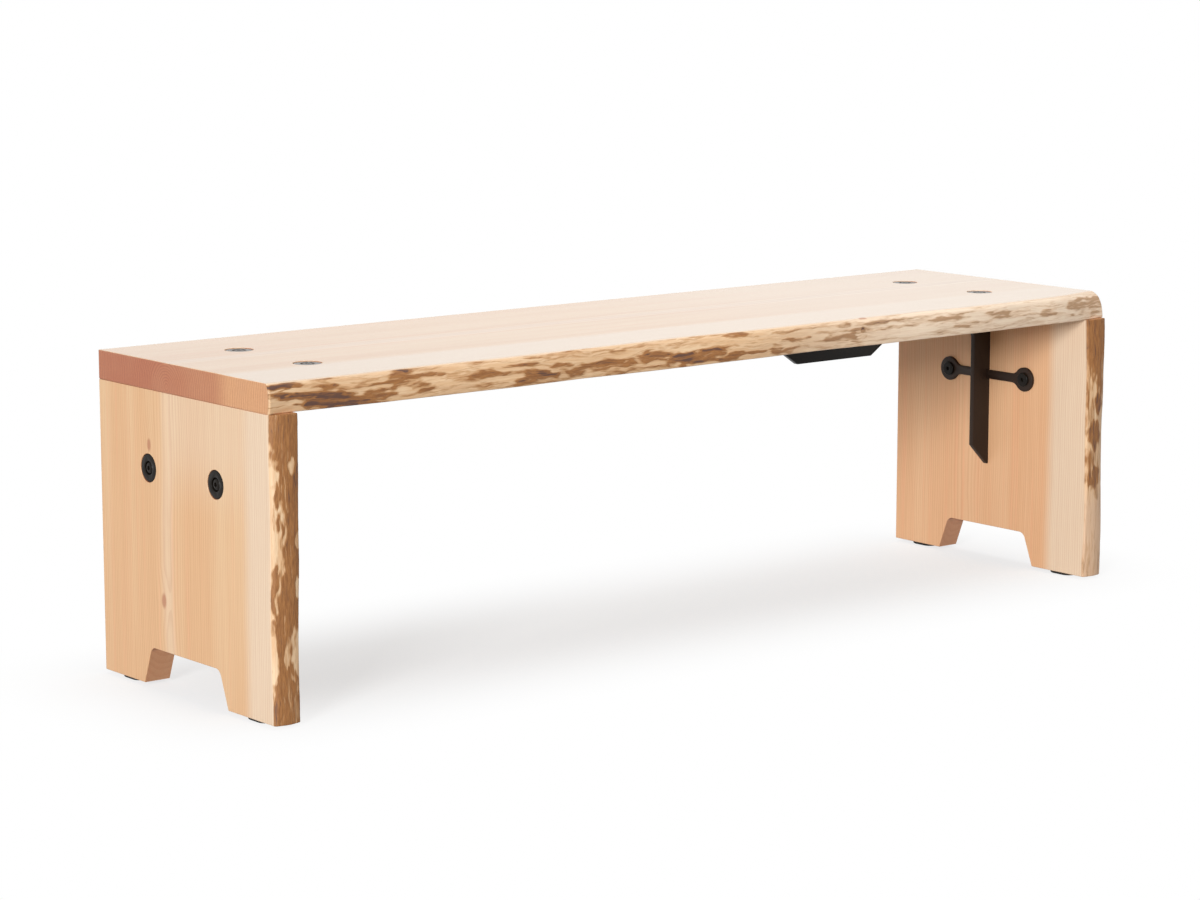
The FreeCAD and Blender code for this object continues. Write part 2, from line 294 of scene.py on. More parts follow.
for name, (place, size, power, mirrored) in softboxes.items():
    lamp = bpy.data.lights.new(name, "AREA")
    lamp.shape = "RECTANGLE"
    lamp.size, lamp.size_y = size
    lamp.energy = power
    softbox = bpy.data.objects.new(name, lamp)
    softbox.location = place
    softbox.rotation_euler = (lit_point - Vector(place)).to_track_quat("-Z", "Y").to_euler()
    softbox.visible_camera = False
    softbox.visible_glossy = mirrored
    scene.collection.objects.link(softbox)
    print(name, "watts:", power)

# %% [markdown]
# Wood
#
# The planks are sawn through the heart of a softwood tree, so one field in space can colour all of a
# plank: rings round the pith, which runs inside the plank. A sawn face cuts the rings into straight
# lines, and a sawn end shows them as arcs, with no picture to wrap round the corner. Clouds, streaks
# and fibres are noises drawn out along the grain.

# %% Wood tones
plank_tones = {
    "heart": paint(227, 184, 139),
    "heart_pale": paint(233, 198, 156),
    "heart_red": paint(235, 181, 139),
    "late": paint(205, 155, 118),
    "sap": paint(236, 213, 186),
    "knot": paint(176, 112, 80),
    "end_heart": paint(182, 112, 78),
    "end_sap": paint(220, 168, 122),
    "strip": paint(226, 186, 142),
    "strip_pale": paint(240, 210, 172),
    "stain": paint(196, 150, 104),
    "bark": paint(139, 89, 43),
    "bark_pale": paint(166, 113, 62),
    "bark_dark": paint(86, 53, 38),
    "bark_aged": paint(182, 146, 112),
}
print("wood tones:", len(plank_tones))

# %% Grain
# Spots of noise in a metre along the grain, across the plank and through it
sway_spots = (2.4, 4, 4)
tremble_spots = (14, 70, 70)
fibre_spots = (9, 620, 620)
cloud_spots = (1.1, 16, 16)
streak_spots = (2, 110, 110)
pore_spots = 900
noise_middle = 0.5

# Where two of the noises start, so that they don't follow the others
cloud_start = 4
streak_start = 9

sway_reach = 34 * mm
tremble_reach = 2.4 * mm
ring_width = 4.2 * mm
ring_spots = 55
ring_unevenness = 1.6
late_wood_start = (0.35, 0.9)
late_wood_end = (1.0, 0.97)
knot_rim = (1.25, 0.55)
swirl_rim = (5.0, 0.5)
swirl_reach = 3.5 * mm


class Grain:
    """What the parts of a plank's finish share: places, rings, fibres and knots."""

    def __init__(self, wood, along_axis, pith, knots):
        self.wood = wood
        self.knots = knots
        x, self.y, z = wood.place()
        self.along, self.through = (x, z) if along_axis == 0 else (z, x)
        self.normal = wood.add("ShaderNodeNewGeometry", {}, {}, "Normal")
        self.sway = (self.spots(sway_spots) - noise_middle) * sway_reach
        self.tremble = (self.spots(tremble_spots) - noise_middle) * tremble_reach
        self.fibre = self.spots(fibre_spots, detail=3.0)
        self.cloud = self.spots(cloud_spots, start=cloud_start)
        self.streak = self.spots(streak_spots, start=streak_start)
        self.pores = wood.noise(x * pore_spots, self.y * pore_spots, z * pore_spots)
        self.across = self.y - pith[0] + self.sway
        self.knot, swirl = self.knot_field()
        self.late = self.late_wood(self.through - pith[1], swirl)

    def spots(self, counts, detail=2.0, start=0, level=None):
        """Noise with so many spots in a metre, on the plank or on a level that rolls through it."""
        along_count, across_count, through_count = counts
        along = self.along * along_count
        if start:
            along = along + start
        depth = self.through if level is None else level
        return self.wood.noise(along, self.y * across_count, depth * through_count, detail)

    def knot_field(self):
        """How much of a place is knot, and how far the rings swing out round it."""
        knot = 0
        swirl = 0
        for knot_along, knot_across, knot_length, knot_width in self.knots:
            run = (self.along - knot_along) / knot_length
            side = (self.y - knot_across) / knot_width
            distance = (run * run + side * side) ** 0.5
            knot = distance.rise(*knot_rim) + knot
            swirl = distance.rise(*swirl_rim) * swirl_reach + swirl
        return knot, swirl

    def late_wood(self, depth, swirl):
        """1 on the dark late wood that closes each ring."""
        radius = (self.across * self.across + depth * depth) ** 0.5 + self.tremble + swirl
        uneven = self.wood.noise(radius * ring_spots, 0.0, 0.0, detail=1.0) * ring_unevenness
        ring = (radius / ring_width + uneven) % 1.0
        return ring.rise(*late_wood_start) * ring.rise(*late_wood_end)

    def facing(self, axis):
        """How squarely the surface faces along an axis, from 0 to 1."""
        return abs(self.wood.add("ShaderNodeSeparateXYZ", {}, {0: self.normal}, axis))


print("ring width in millimetres:", ring_width / mm)

# %% [markdown]
# Sawn faces and ends
#
# The heart of the plank is pinkish tan with a pale stripe over the pith, and the outer wood next to the
# bark is cream. Part of the heart is painted paler as a painted sheen, where light and its reflection
# fall brightest: at the right of the seat and the top of the left leg.
# The ends are darker than the faces, because end grain drinks the oil. One colour for each plank would
# look like plastic, and a painted picture would not meet itself at the corners, so both are blended
# from the same noises, each with a small share.

# %% Sawn faces
cloud_step = (0.35, 0.68)
streak_step = (0.5, 0.75)
streak_share = 0.45
pith_stripe_fade = (20 * mm, 5 * mm)
pith_stripe_waver = 3
pith_stripe_share = 0.45
sap_sway = 0.35
sap_blur = 14 * mm
late_share = 0.2
fibre_step = (0.3, 0.75)
fibre_share = 0.14
knot_share = 0.75


def sawn_face(grain, sap_edge, blush, painted_sheen_patch):
    """Heartwood with a blush or a painted sheen patch, which turns into sapwood at a place across the
    plank.
    """
    wood = grain.wood
    tones = plank_tones
    heart = wood.blend(grain.cloud.rise(*cloud_step), tones["heart"], tones["heart_pale"])
    red = grain.streak.rise(*streak_step) * streak_share + blush
    heart = wood.blend(red, heart, tones["heart_red"])
    pith_stripe = abs(grain.across + grain.tremble * pith_stripe_waver).rise(*pith_stripe_fade)
    heart = wood.blend(pith_stripe * (pith_stripe_share - blush), heart, tones["sap"])
    # A patch of the heart is blended towards sapwood as a painted sheen, where light falls brightest
    if painted_sheen_patch:
        sheen_share, sheen_along, sheen_across = painted_sheen_patch
        sheen_mask = grain.along.rise(*sheen_along) * grain.y.rise(*sheen_across) * sheen_share
        heart = wood.blend(sheen_mask, heart, tones["sap"])
    sap_line = grain.y + grain.sway * sap_sway + grain.tremble
    face = wood.blend(sap_line.rise(sap_edge - sap_blur, sap_edge + sap_blur), tones["sap"], heart)
    face = wood.blend(grain.late * late_share, face, tones["late"], "MULTIPLY")
    face = wood.blend(grain.fibre.rise(*fibre_step) * fibre_share, face, tones["late"], "MULTIPLY")
    if grain.knots:
        face = wood.blend(grain.knot * knot_share, face, tones["knot"])
    return face


print("pith stripe half width in millimetres:", pith_stripe_fade[0] / mm)

# %% Sawn ends
end_line_reach = (22 * mm, 26 * mm)
end_fade_reach = (10 * mm, 200 * mm)
end_line_share = 0.65
end_fade_share = 0.35
end_cloud_step = (0.4, 0.7)
end_cloud_share = 0.2
end_late_share = 0.5
pore_step = (0.4, 0.7)
pore_share = 0.25
notch_facing = (0.6, 0.85)
notch_fade = (0.16, 0.13)


def sawn_end(grain, sap_edge):
    """End grain with open pores, from tan sapwood to a red-brown heart."""
    wood = grain.wood
    tones = plank_tones
    line = grain.y + grain.sway * sap_sway
    line = line.rise(sap_edge - end_line_reach[0], sap_edge + end_line_reach[1])
    fade = grain.y.rise(sap_edge - end_fade_reach[0], sap_edge + end_fade_reach[1])
    heart = line * end_line_share + fade * end_fade_share
    end = wood.blend(heart, tones["end_sap"], tones["end_heart"])
    end = wood.blend(grain.cloud.rise(*end_cloud_step) * end_cloud_share, end, tones["late"])
    end = wood.blend(grain.late * end_late_share, end, tones["late"], "MULTIPLY")
    return wood.blend(grain.pores.rise(*pore_step) * pore_share, end, tones["late"], "MULTIPLY")


def notch_grain_and_shade(grain):
    """1 on the sloping walls of a notch near the middle of a plank, which cut a little across the grain
    and take a painted shade.
    """
    return grain.facing("Y").rise(*notch_facing) * abs(grain.y).rise(*notch_fade)


print("end grain fades over millimetres:", sum(end_fade_reach) / mm)

# %% [markdown]
# The live edge's colours
#
# Where the bark was shaved off, the edge is a patchwork: bare strips of outer wood, tan stains, crumbs
# of brown inner bark, and nearly black bark in the deepest places. The mesh of each plank carries two
# attributes. One says how far a point is on the live edge, and the other how much bark it has, and
# torn noises break up both, because a smooth mask would look sprayed on. Part of the edge has aged to
# a paler and greyer tone.

# %% Live edge colours
wave_spots = (9, 3, 3)
wave_reach = 16 * mm
ripple_spots = (42, 20, 60)
ripple_reach = 6 * mm
shred_spots = (17, 80, 230)
crumb_spots = (70, 240, 620)
crumb_tear = 0.7
strip_step = (0.3, 0.7)
strip_fibre_step = (0.35, 0.8)
strip_fibre_share = 0.25
stain_aged_share = 0.5
crumb_step = (0.35, 0.65)
stain_cover = (0.1, 0.42)
residue_cover = (0.38, 0.6)
dark_cover = (0.8, 1.1)
edge_tear = 0.6
edge_step = (0.2, 0.8)


def live_edge(grain, shredding, aged_span, aged_tone):
    """The edge's colour, how much of a place is edge, how much of it is bark, and the bark's crumbs."""
    wood = grain.wood
    tones = plank_tones
    wane = wood.add("ShaderNodeAttribute", {"attribute_name": "wane"}, {}, "Fac")
    bark = wood.add("ShaderNodeAttribute", {"attribute_name": "bark"}, {}, "Fac")
    aged = grain.along.rise(*aged_span)
    wave = (grain.spots(wave_spots) - noise_middle) * wave_reach
    ripple = (grain.spots(ripple_spots) - noise_middle) * ripple_reach
    level = grain.through + wave + ripple
    shred = grain.spots(shred_spots, level=level)
    crumb = grain.spots(crumb_spots, detail=3.0, level=level)
    strip = wood.blend(shred.rise(*strip_step), tones["strip"], tones["strip_pale"])
    strip = wood.blend(aged, strip, aged_tone)
    fibre = grain.fibre.rise(*strip_fibre_step) * strip_fibre_share
    strip = wood.blend(fibre, strip, tones["late"], "MULTIPLY")
    stain = wood.blend(aged * stain_aged_share, tones["stain"], aged_tone)
    shed = wood.blend(crumb.rise(*crumb_step), tones["bark"], tones["bark_pale"])
    shed = wood.blend(aged, shed, tones["bark_aged"])
    cover = bark + (shred - noise_middle) * shredding + (crumb - noise_middle) * crumb_tear
    residue = cover.rise(*residue_cover)
    edge = wood.blend(cover.rise(*stain_cover), strip, stain)
    edge = wood.blend(residue, edge, shed)
    edge = wood.blend(cover.rise(*dark_cover), edge, tones["bark_dark"])
    on_edge = (wane + (shred - noise_middle) * edge_tear).rise(*edge_step)
    return edge, on_edge, residue * on_edge, crumb


print("bark crumbs in a metre:", crumb_spots[0])

# %% [markdown]
# Three oiled planks
#
# The seat is polished and mirrors the room a little, and the legs have a satin oil, so the planks differ
# in gloss as well as in colour. A sanded corner is never as glossy as the flat beside it, so roughness
# rises where a face starts to turn. Each plank has its own pith, sapwood and knots.

# %% Whole wood finish
end_facing = (0.55, 0.85)
notch_grain_and_shade_share = 0.5
eased_facing = (0.999, 0.97)
matt_roughness = 0.5
gloss_drop = 0.5
eased_roughness = 0.4
late_roughness = -0.03
fibre_roughness = 0.06
bark_roughness = 0.15
fibre_relief = 0.05
late_relief = 0.03
pore_relief = 0.5
crumb_relief = 2.0
relief_depth = 0.2 * mm
wood_specular = 0.65


def plank_wood(
    name, along_axis, pith, sap_edge, blush, gloss, shredding, aged_span, aged_tone, knots=(), painted_sheen_patch=(),
):
    """A finish for a plank whose grain runs along X or Z and whose live edge faces -Y."""
    material, wood = new_material(name)
    grain = Grain(wood, along_axis, pith, knots)
    end = grain.facing("XYZ"[along_axis]).rise(*end_facing)
    sawn = wood.blend(end, sawn_face(grain, sap_edge, blush, painted_sheen_patch), sawn_end(grain, sap_edge))
    # The notch walls take the dark end tone, partly for their cut grain and partly as painted shade
    sawn = wood.blend(notch_grain_and_shade(grain) * notch_grain_and_shade_share, sawn, plank_tones["end_heart"])
    edge, on_edge, bark, crumb = live_edge(grain, shredding, aged_span, aged_tone)

    eased = grain.facing("ZYX"[along_axis]).rise(*eased_facing)
    roughness = grain.late * late_roughness + grain.fibre * fibre_roughness + bark * bark_roughness
    roughness = roughness + eased * (gloss * eased_roughness) + (matt_roughness - gloss * gloss_drop)
    relief = grain.fibre * fibre_relief + grain.late * late_relief
    relief = relief + grain.pores * end * pore_relief + crumb * bark * crumb_relief
    wood.close({
        "Base Color": wood.blend(on_edge, sawn, edge),
        "Roughness": roughness,
        "Normal": wood.bump(relief, relief_depth),
        "Specular IOR Level": wood_specular,
    })
    print(name, "nodes:", len(material.node_tree.nodes))
    return material


print("roughness of unpolished wood:", matt_roughness)

# %% Seat and leg wood
# Each knot has its place along and across the plank and its half length and half width
# The painted sheen patch has its share and the spans along and across the plank over which it grows
# An aged span that starts past a plank's end leaves all of its edge fresh
seat_wood = plank_wood(
    "seat_wood", along_axis=0, pith=(0.039, 0.418), sap_edge=-0.096, blush=0.0, gloss=0.8,
    shredding=1.4, aged_span=(0.0, 0.4), aged_tone=paint(246, 225, 200),
    knots=[(0.265, -0.196, 8 * mm, 5 * mm)],
    painted_sheen_patch=(0.62, (-0.1, 0.45), (0.3, 0.2)),
)
left_leg_wood = plank_wood(
    "left_leg_wood", along_axis=2, pith=(0.040, -0.752), sap_edge=-0.148, blush=0.0, gloss=0.1,
    shredding=0.9, aged_span=(0.5, 0.6), aged_tone=paint(226, 194, 164),
    knots=[(0.335, 0.086, 9 * mm, 5 * mm), (0.127, 0.056, 11 * mm, 6 * mm)],
    painted_sheen_patch=(0.55, (0.24, 0.36), (0.045, 0.02)),
)
right_leg_wood = plank_wood(
    "right_leg_wood", along_axis=2, pith=(0.054, 0.758), sap_edge=-0.131, blush=0.45, gloss=0.1,
    shredding=0.9, aged_span=(0.16, 0.11), aged_tone=paint(226, 192, 160),
)

# %% [markdown]
# Planks with a live edge
#
# On the real bench the bark was shaved off the front edge by hand, which left long flat strokes, a
# rounded corner and scraps of brown inner bark. Sculpting that by hand could not be repeated, and a
# bump in the finish would leave a straight outline. So the front of each plank starts as a fine grid.
# Every point of it is pushed back until it meets the solid plank, then the corners are rounded and the
# strokes and scraps raised. The rest of the plank is that grid's border, drawn out to the back.

# %% Steps and noises
sawn_round = 1.4 * mm
round_steps = 3


def soft_step(value, start, end):
    """0 before start, 1 after end, and a soft step between them."""
    share = min(max((value - start) / (end - start), 0), 1)
    return share * share * (3 - 2 * share)


def wander(kind, along, across, seed):
    """Noise from about -1 to 1. A kind has its spots along and across, and its step from the seed."""
    along_spots, across_spots, seed_step = kind
    return noise.noise(Vector((along * along_spots, across * across_spots, seed + seed_step)))


def stations(length, pitch):
    """Distances from one border to the other: crowded on the rounded borders and even between."""
    arc = [sawn_round * (1 - math.cos(math.pi / 2 * k / round_steps)) for k in range(round_steps)]
    flat = length - 2 * sawn_round
    count = round(flat / pitch)
    middle = [sawn_round + flat * k / count for k in range(count + 1)]
    return arc + middle + [length - distance for distance in reversed(arc)]


print("sawn corners are rounded by millimetres:", sawn_round / mm)

# %% Scraps of bark
bare_bark = 0.18
middle_share = 0.5
scrap_sway = (15, 1, 0)
scrap_sway_share = 0.08
scrap_ripple = (48, 3, 3)
scrap_ripple_share = 0.07
scrap_streak = (18, 7, 5)
scrap_fray = (75, 9, 9)
streak_tear = 0.5
fray_tear = 0.7
scrap_rim = (-0.5, 0.5)
scrap_reach = 2
streak_tone = 0.3


def bark_cover(along, share, scraps, seed):
    """How dark the inner bark is at a place: soft scraps with pointed ends, painted in turn."""
    sway = wander(scrap_sway, along, middle_share, seed)
    ripple = wander(scrap_ripple, along, share, seed)
    level = share + scrap_sway_share * sway + scrap_ripple_share * ripple
    streak = wander(scrap_streak, along, level, seed)
    fray = wander(scrap_fray, along, level, seed)
    value = bare_bark
    for scrap_along, scrap_share, half_length, half_share, depth in scraps:
        run = (along - scrap_along) / half_length
        if abs(run) > scrap_reach:
            continue
        rise = abs(level - scrap_share) / half_share
        inside = soft_step(1 - run * run - rise + streak_tear * streak + fray_tear * fray, *scrap_rim)
        value += (depth - value) * inside
    return value + streak_tone * streak


print("bark left on shaved wood:", bare_bark)

# %% Plank measures
ray_start = 1.0

# A span past the end of every plank, for one that isn't worn
unworn = (2.0, 3.0)


class Plank:
    """A plank with a live edge, measured on its solid. Along is 0 for the seat and 2 for a leg."""

    def __init__(self, name, along, rounds, scraps, seed, worn_span=unworn, worn_depth=0, worn_round=0):
        self.name = name
        self.along = along
        self.through = 2 - along
        self.rounds = rounds
        self.scraps = scraps
        self.seed = seed
        self.worn_span = worn_span
        self.worn_depth = worn_depth
        self.worn_round = worn_round
        self.low, self.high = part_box(name)
        self.length = self.high[self.along] - self.low[self.along]
        self.thickness = self.high[self.through] - self.low[self.through]
        solid = bmesh.new()
        solid.from_mesh(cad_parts[name].data)
        self.tree = BVHTree.FromBMesh(solid)
        solid.free()

    def border_offset(self, place):
        """From the nearest point of the flat middle of the front to a place, in the plane of the front."""
        offset = Vector((0, 0, 0))
        for axis in (self.along, self.through):
            inner_low = self.low[axis] + sawn_round
            inner_high = self.high[axis] - sawn_round
            offset[axis] = place[axis] - min(max(place[axis], inner_low), inner_high)
        return offset

    def front(self, place):
        """Where the front of the solid is, on a ray that starts before the plank."""
        start = Vector(place)
        start.y = self.low.y - ray_start
        return self.tree.ray_cast(start, Vector((0, 1, 0)))[0].y

    def bark(self, place):
        """How dark the bark is at a place on the front."""
        share = (place[self.through] - self.low[self.through]) / self.thickness
        return bark_cover(place[self.along] - self.low[self.along], share, self.scraps, self.seed)

    def worn(self, place):
        """0 on most of the plank, and 1 at a worn end."""
        return soft_step(place[self.along], *self.worn_span)


print("rays start before a plank by metres:", ray_start)

# %% Strokes and rounded corners
stroke_depth = 1.0 * mm
stroke_wander = (17, 48, 11)
ridge_depth = 0.3 * mm
ridge_wander = (45, 600, 17)
bark_thickness = 1.0 * mm
ragged_wander = (120, 260, 23)
ragged_share = 0.4
radius_wander = (13, 7, 29)


def relief(plank, place):
    """How far the shaved wood and the scraps of bark stand out at a place."""
    along = place[plank.along]
    through = place[plank.through]
    stroke = wander(stroke_wander, along, through, plank.seed)
    ridge = wander(ridge_wander, along, through, plank.seed)
    ragged = 1 - ragged_share + ragged_share * wander(ragged_wander, along, through, plank.seed)
    return stroke * stroke_depth + ridge * ridge_depth + plank.bark(place) * ragged * bark_thickness


def wane_drop(plank, place):
    """How far the rounded corners and a worn end fall back. The radius wanders along the plank."""
    worn = plank.worn(place)
    drop = worn * plank.worn_depth
    through = place[plank.through]
    faces = (through - plank.low[plank.through], plank.high[plank.through] - through)
    for side, distance in enumerate(faces):
        least, most = plank.rounds[side]
        share = (1 + wander(radius_wander, place[plank.along], side, plank.seed)) / 2
        radius = least + (most - least) * share + side * worn * plank.worn_round
        inside = max(radius - distance, 0)
        drop += radius - math.sqrt(radius * radius - inside * inside)
    return drop


print("strokes are millimetres deep:", stroke_depth / mm)

# %% Front of a plank
column_pitch = 1.8 * mm
row_pitch = 1.0 * mm
grid_half = 0.5


def press(plank, place):
    """Moves a point of the front grid on to the live edge."""
    offset = plank.border_offset(place)
    share = min(offset.length / sawn_round, 1)
    rounding = sawn_round * (1 - math.sqrt(1 - share * share))
    place.y = plank.front(place - offset) + rounding + wane_drop(plank, place) - relief(plank, place)


def front_grid(plank, mesh):
    """A grid over the front of the plank, with round corners where two rounded borders meet."""
    alongs = stations(plank.length, column_pitch)
    throughs = stations(plank.thickness, row_pitch)
    columns = len(alongs) - 1
    rows = len(throughs) - 1
    bmesh.ops.create_grid(mesh, x_segments=columns, y_segments=rows, size=grid_half)
    for vert in mesh.verts:
        column = round((vert.co.x + grid_half) * columns)
        row = round((vert.co.y + grid_half) * rows)
        vert.co = plank.low
        vert.co[plank.along] += alongs[column]
        vert.co[plank.through] += throughs[row]
        offset = plank.border_offset(vert.co)
        run = offset[plank.along] / sawn_round
        rise = offset[plank.through] / sawn_round
        vert.co -= offset
        vert.co[plank.along] += sawn_round * run * math.sqrt(1 - rise * rise / 2)
        vert.co[plank.through] += sawn_round * rise * math.sqrt(1 - run * run / 2)
        press(plank, vert.co)


print("grid in millimetres:", column_pitch / mm, "by", row_pitch / mm)

# %% Rest of a plank
wane_step = 4 * mm
back_turns = (0, 30, 60, 80)


def draw_back(mesh, loop, step):
    """Extrudes a loop of border edges and places each new point by a function of the old one."""
    made = bmesh.ops.extrude_edge_only(mesh, edges=loop)["geom"]
    for part in made:
        if isinstance(part, bmesh.types.BMVert):
            part.co = step(part.co)
    return [part for part in made if isinstance(part, bmesh.types.BMEdge) and part.is_boundary]


def behind(plank, turn):
    """Where a border point goes on the rounded back edge, at a turn between 0 and 90 degrees."""
    def step(place):
        offset = plank.border_offset(place)
        moved = place - offset
        if offset.length > 0:
            moved += offset.normalized() * sawn_round * math.cos(turn)
        moved.y = plank.high.y - sawn_round * (1 - math.sin(turn))
        return moved
    return step


def plank_mesh(plank):
    """The whole plank before it is cut: its front, its sawn faces and its back."""
    mesh = bmesh.new()
    front_grid(plank, mesh)
    loop = [edge for edge in mesh.edges if edge.is_boundary]
    loop = draw_back(mesh, loop, lambda place: place + Vector((0, wane_step, 0)))
    for degrees in back_turns:
        loop = draw_back(mesh, loop, behind(plank, math.radians(degrees)))
    bmesh.ops.edgeloop_fill(mesh, edges=loop)
    bmesh.ops.recalc_face_normals(mesh, faces=mesh.faces)
    return mesh


print("steps round the back edge:", len(back_turns))

# %% Marks for the finish
mark_reach = 50 * mm
wane_fade = (6 * mm, 0.5 * mm)


def mark(plank, piece):
    """Stores on each point how far it is on the live edge, and how much bark it has."""
    wane = piece.data.attributes.new("wane", "FLOAT", "POINT")
    bark = piece.data.attributes.new("bark", "FLOAT", "POINT")
    for vert in piece.data.vertices:
        if vert.co.y > plank.low.y + mark_reach:
            continue
        inner = vert.co - plank.border_offset(vert.co)
        depth = vert.co.y - plank.front(inner) - plank.worn(inner) * plank.worn_depth
        wane.data[vert.index].value = soft_step(depth, *wane_fade)
        bark.data[vert.index].value = plank.bark(vert.co)


print("marks end behind the front by millimetres:", mark_reach / mm)

# %% [markdown]
# Bolt holes and foot notches
#
# Each bolt has a round recess for its cup washer and a wider bore for the sleeve of its nut, and each
# leg is cut out at the foot so that it stands on two glides. Holes could be drawn into the sawn faces
# from the start, but those long faces would then have to bend round them. So all of these are cut out
# of the finished plank with one boolean. The cutters flare a little where they leave the wood, which
# eases the cut edge as sandpaper would.

# %% Bore cutters
weld_distance = 0.01 * mm
cut_ease = 0.5 * mm
cut_overrun = 12 * mm
bore_steps = 48
bore_clearance = 0.5 * mm
bolt_hole_radius = 5.5 * mm
sleeve_hole_radius = 6.8 * mm
sleeve_reach = 15.6 * mm


def spun(profile, steps):
    """A closed shape of revolution round Z from (radius, height) points that start and end on the axis."""
    mesh = bmesh.new()
    points = [mesh.verts.new((radius, 0, height)) for radius, height in profile]
    edges = [mesh.edges.new(pair) for pair in zip(points, points[1:])]
    bmesh.ops.spin(mesh, geom=points + edges, angle=math.tau, steps=steps, axis=(0, 0, 1), use_merge=True)
    bmesh.ops.remove_doubles(mesh, verts=mesh.verts, dist=weld_distance)
    bmesh.ops.recalc_face_normals(mesh, faces=mesh.faces)
    return mesh


def pair_places(node, axis):
    """The two centres of a pair of round pieces that lie at the front and the back, and their radius."""
    low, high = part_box(node)
    middle = (low + high) / 2
    radius = (high[2 - axis] - low[2 - axis]) / 2
    places = [Vector((middle.x, y, middle.z)) for y in (low.y + radius, high.y - radius)]
    return places, radius


def add_mesh(target, source, matrix):
    """Copies one bmesh into another at a place."""
    bmesh.ops.transform(source, matrix=matrix, verts=source.verts)
    copy = bpy.data.meshes.new("copy")
    source.to_mesh(copy)
    source.free()
    target.from_mesh(copy)
    bpy.data.meshes.remove(copy)


def bore_cutters(target, washers, axis, outward, face, thickness):
    """The stepped holes of a pair of bolts, seen from the outer face of a plank."""
    places, washer_radius = pair_places(washers, axis)
    radius = washer_radius + bore_clearance
    low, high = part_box(washers)
    washer_floor = low[axis] if outward > 0 else high[axis]
    depth = abs(face - washer_floor)
    sleeve_top = sleeve_reach - thickness
    bottom = -thickness - cut_overrun
    profile = [(0, cut_ease), (radius + 2 * cut_ease, cut_ease), (radius, -cut_ease), (radius, -depth)]
    profile += [(bolt_hole_radius, -depth), (bolt_hole_radius, sleeve_top)]
    profile += [(sleeve_hole_radius, sleeve_top), (sleeve_hole_radius, bottom), (0, bottom)]
    turn = Matrix.Identity(4) if axis == 2 else Matrix.Rotation(outward * math.pi / 2, 4, "Y")
    for place in places:
        place[axis] = face
        add_mesh(target, spun(profile, bore_steps), Matrix.Translation(place) @ turn)


print("bolt holes in millimetres:", 2 * bolt_hole_radius / mm)

# %% Notch cutter
notch_top_half = 84 * mm
notch_bottom_half = 104 * mm
notch_height = 52 * mm
notch_corner_reach = 8.5 * mm
notch_corner_steps = 6
notch_middle = 6.5 * mm
same_place = 0.1 * mm


def notch_section(mesh, x, foot, grow):
    """One outline of the notch, across the leg at x, with round upper corners."""
    flare = (notch_bottom_half - notch_top_half) / notch_height * cut_overrun
    low_half = notch_bottom_half + flare + grow
    top_half = notch_top_half + grow
    bottom = foot - cut_overrun
    top = foot + notch_height + grow
    corners = [(-low_half, bottom), (-top_half, top), (top_half, top), (low_half, bottom)]
    points = [mesh.verts.new((x, y, z)) for y, z in corners]
    for k in range(len(points)):
        mesh.edges.new((points[k], points[k - 1]))
    bmesh.ops.bevel(
        mesh, geom=points[1:3], offset=notch_corner_reach + grow, segments=notch_corner_steps,
        profile=0.5, affect="VERTICES", material=-1,
    )


def notch_cutter(target, plank):
    """The flared notch of a foot, a little wider at both faces of the leg."""
    mesh = bmesh.new()
    near, far = plank.low.x, plank.high.x
    sections = [(near - cut_ease, 2 * cut_ease), (near + cut_ease, 0)]
    sections += [(far - cut_ease, 0), (far + cut_ease, 2 * cut_ease)]
    for x, grow in sections:
        notch_section(mesh, x, plank.low.z, grow)
    loops = [
        [edge for edge in mesh.edges if abs(edge.verts[0].co.x - x) < same_place] for x, grow in sections
    ]
    for loop, next_loop in zip(loops, loops[1:]):
        bmesh.ops.bridge_loops(mesh, edges=loop + next_loop)
    for loop in (loops[0], loops[-1]):
        bmesh.ops.edgeloop_fill(mesh, edges=loop)
    bmesh.ops.recalc_face_normals(mesh, faces=mesh.faces)
    add_mesh(target, mesh, Matrix.Translation((0, notch_middle, 0)))


print("notch height in millimetres:", notch_height / mm)

# %% Cutting and shading
plank_smooth_angle = math.radians(32)
square_on = 0.99999


def cut(piece, cutter_mesh):
    """Cuts a closed mesh out of a piece, for good."""
    cutter = new_piece("cutter", cutter_mesh, piece.data.materials[0])
    modifier = piece.modifiers.new("cut", "BOOLEAN")
    modifier.operation = "DIFFERENCE"
    modifier.solver = "EXACT"
    modifier.object = cutter
    shown = piece.evaluated_get(bpy.context.evaluated_depsgraph_get())
    whole = piece.data
    piece.data = bpy.data.meshes.new_from_object(shown)
    piece.modifiers.clear()
    bpy.data.meshes.remove(whole)
    bpy.data.objects.remove(cutter)


def shade(piece):
    """Smooth shading that leaves the square sawn faces flat."""
    piece.data.shade_smooth()
    piece.data.set_sharp_from_angle(angle=plank_smooth_angle)
    mesh = bmesh.new()
    mesh.from_mesh(piece.data)
    for face in mesh.faces:
        if max(abs(share) for share in face.normal) > square_on:
            for edge in face.edges:
                edge.smooth = False
    mesh.to_mesh(piece.data)
    mesh.free()


def finish_plank(plank, cutters, material):
    """Shapes, cuts and marks a plank, and puts it in the place of its solid."""
    piece = new_piece("live_edge_" + plank.name, plank_mesh(plank), material)
    cut(piece, cutters)
    shade(piece)
    mark(plank, piece)
    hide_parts(plank.name)
    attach(piece, "root")
    print(piece.name, "faces:", len(piece.data.polygons))


print("planks can be cut and shaded")
